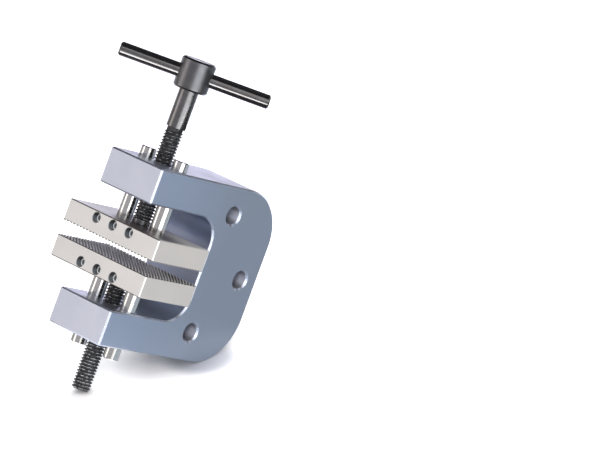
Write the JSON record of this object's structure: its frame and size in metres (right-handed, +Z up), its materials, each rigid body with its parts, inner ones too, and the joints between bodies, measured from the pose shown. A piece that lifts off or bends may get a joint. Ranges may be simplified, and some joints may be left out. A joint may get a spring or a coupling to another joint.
{
  "type": "tensile test grip",
  "caption": "Screw-action tensile test grip: a C frame with cross bores and serrated jaws on guide pins, moved by a T-handle spindle and an opposed spindle.",
  "frame": {"origin": "middle of the load pin bore, the cross bore in the middle of the spine", "axes": "+X out of the back of the spine, along the pull line; +Y across the frame, along the bore; +Z up along the spindles to the handle"},
  "size_m": [0.1342, 0.0794, 0.2165],
  "materials": {
    "frame": "milled and clear anodised, satin, faintly blue",
    "jaw": "nickel plated, satin",
    "guide_pin": "ground and polished",
    "set_screw": "black oxide",
    "spindle": "black oxide, burnished on the shank and head",
    "handle": "black oxide, burnished"
  },
  "bodies": {
    "frame": {"frame": "frame"},
    "upper_jaw": {"upper_jaw": "jaw", "upper_pin_left": "guide_pin", "upper_pin_right": "guide_pin", "upper_pin_screw_left": "set_screw", "upper_pin_screw_right": "set_screw", "upper_spindle_screw": "set_screw"},
    "lower_jaw": {"lower_jaw": "jaw", "lower_pin_left": "guide_pin", "lower_pin_right": "guide_pin", "lower_pin_screw_left": "set_screw", "lower_pin_screw_right": "set_screw", "lower_spindle_screw": "set_screw"},
    "upper_spindle": {"upper_spindle": "spindle", "handle": "handle", "handle_screw": "set_screw"},
    "lower_spindle": {"lower_spindle": "spindle"}
  },
  "joints": [
    {"name": "upper_jaw_slide", "type": "slide", "parent": "frame", "child": "upper_jaw", "axis": [0, 0, 1], "range_m": [-0.003, 0.0165]},
    {"name": "upper_spindle_turn", "type": "hinge", "parent": "upper_jaw", "child": "upper_spindle", "pos_m": [-0.084, 0, 0], "axis": [0, 0, 1], "range_deg": [-542, 2972]},
    {"name": "lower_jaw_slide", "type": "slide", "parent": "frame", "child": "lower_jaw", "axis": [0, 0, 1], "range_m": [-0.014, 0.0055]},
    {"name": "lower_spindle_turn", "type": "hinge", "parent": "lower_jaw", "child": "lower_spindle", "pos_m": [-0.084, 0, 0], "axis": [0, 0, 1], "range_deg": [-2522, 992]}
  ],
  "couplings": [
    {"joint": "upper_spindle_turn", "follows": "upper_jaw_slide", "rad_per_m": 3141.6},
    {"joint": "lower_spindle_turn", "follows": "lower_jaw_slide", "rad_per_m": 3141.6}
  ]
}
